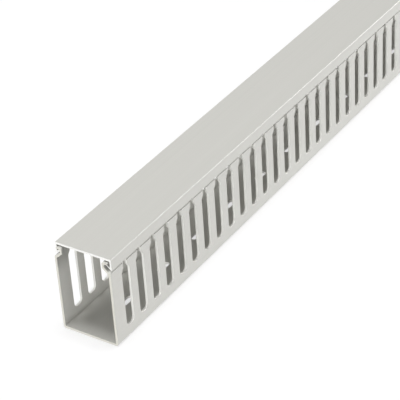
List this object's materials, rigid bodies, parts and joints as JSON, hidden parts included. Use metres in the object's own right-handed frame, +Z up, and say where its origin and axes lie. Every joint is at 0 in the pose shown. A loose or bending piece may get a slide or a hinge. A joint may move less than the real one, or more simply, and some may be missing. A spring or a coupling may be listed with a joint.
{
  "type": "slotted wiring duct with snap cover",
  "caption": "Straight slotted wiring duct: an open plastic channel with finger side walls and mounting holes in its base, closed by a snap cover that also slides lengthwise.",
  "frame": {"origin": "centre of the underside, on the plane that the base lies on", "axes": "+X along the duct, away from the end that the picture shows; +Y across it; +Z up, from the base to the cover"},
  "size_m": [1, 0.05, 0.077],
  "materials": {
    "channel_plastic": "satin light grey rigid PVC, as extruded",
    "cover_plastic": "satin light grey rigid PVC, as extruded"
  },
  "bodies": {
    "channel": {"slotted_channel": "channel_plastic"},
    "cover": {"snap_cover": "cover_plastic"}
  },
  "joints": [
    {"name": "cover_slide", "type": "slide", "parent": "channel", "child": "cover", "axis": [1, 0, 0], "range_m": [-0.95, 0.95]}
  ]
}
